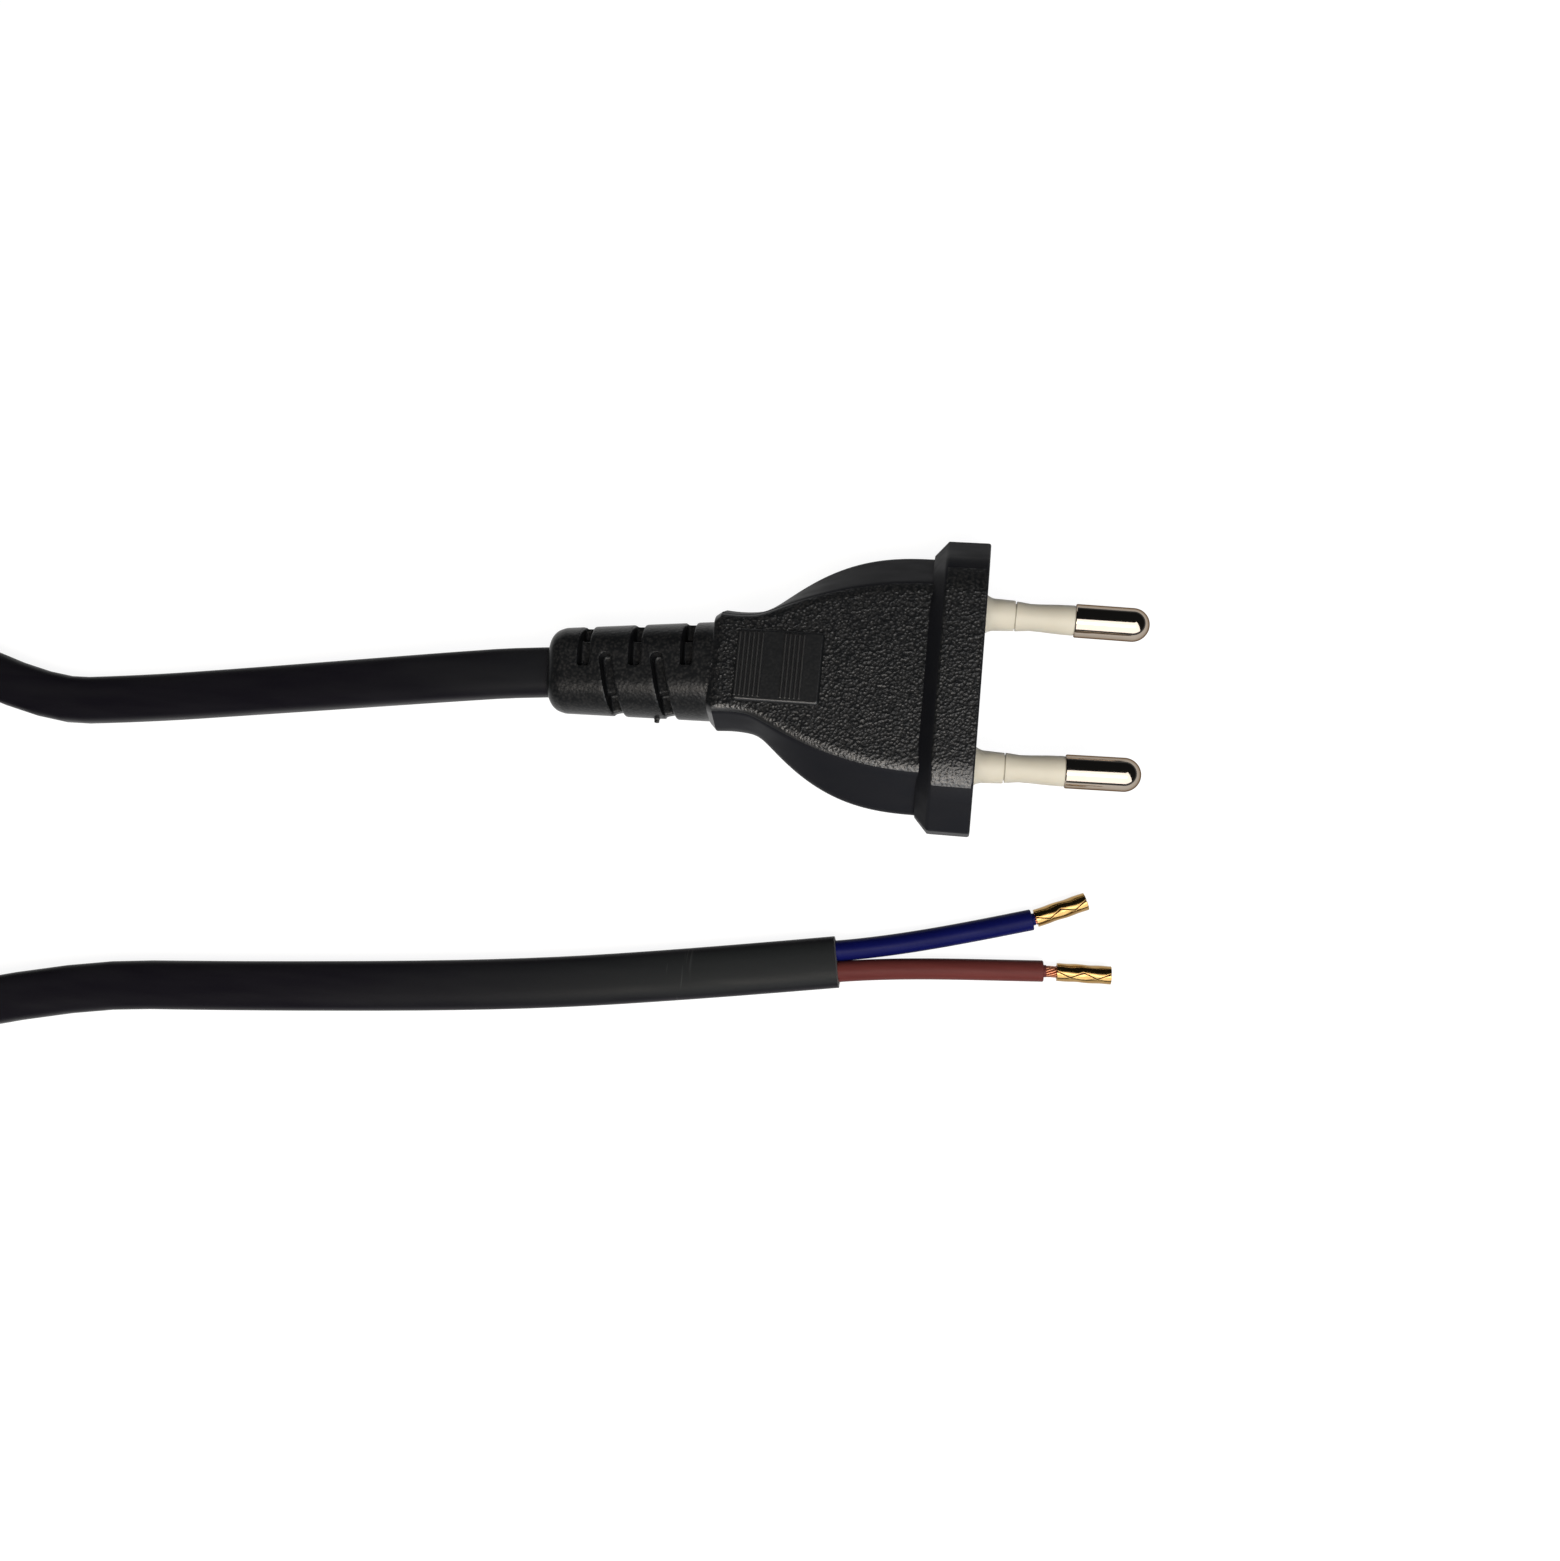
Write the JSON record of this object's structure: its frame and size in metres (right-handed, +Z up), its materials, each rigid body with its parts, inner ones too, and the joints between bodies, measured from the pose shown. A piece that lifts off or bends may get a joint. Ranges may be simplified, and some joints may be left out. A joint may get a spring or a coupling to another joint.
{
  "type": "europlug with flat cord",
  "caption": "Flat moulded europlug with sleeved pins, a slotted strain relief and a flat cord, coiled and tied, whose stripped cores end in crimp bands.",
  "frame": {"origin": "the middle of the engagement face, between the pins", "axes": "+X is the way the pins point, +Y is to the left seen from behind the plug, +Z is up as it lies"},
  "size_m": [0.2469, 0.0877, 0.014],
  "materials": {
    "black_moulding": "soft PVC with a fine leather grain on the tops and smooth flanks",
    "black_sheath": "extruded PVC sheath, satin",
    "black_tie": "flat plastic-covered wire tie",
    "cream_bridge": "hard moulded insert, satin",
    "cream_sleeve": "moulded insulating sleeve, satin",
    "plated_pin": "nickel-plated brass, polished",
    "blue_core": "PVC core insulation, satin",
    "brown_core": "PVC core insulation, satin",
    "copper_strands": "bunched bare copper strands",
    "brass_band": "rolled brass band, pressed with a fine zigzag"
  },
  "bodies": {
    "root": {"plug_body": "black_moulding", "pin_bridge": "cream_bridge", "left_pin": "plated_pin", "right_pin": "plated_pin", "left_pin_sleeve": "cream_sleeve", "right_pin_sleeve": "cream_sleeve", "left_inner_core": "blue_core", "right_inner_core": "brown_core", "left_inner_strands": "copper_strands", "right_inner_strands": "copper_strands", "cord_tail": "black_sheath", "cord_coil": "black_sheath", "cord_return": "black_sheath", "coil_tie": "black_tie", "blue_core_end": "blue_core", "brown_core_end": "brown_core", "blue_strands": "copper_strands", "brown_strands": "copper_strands", "blue_crimp_band": "brass_band", "brown_crimp_band": "brass_band"}
  },
  "joints": []
}
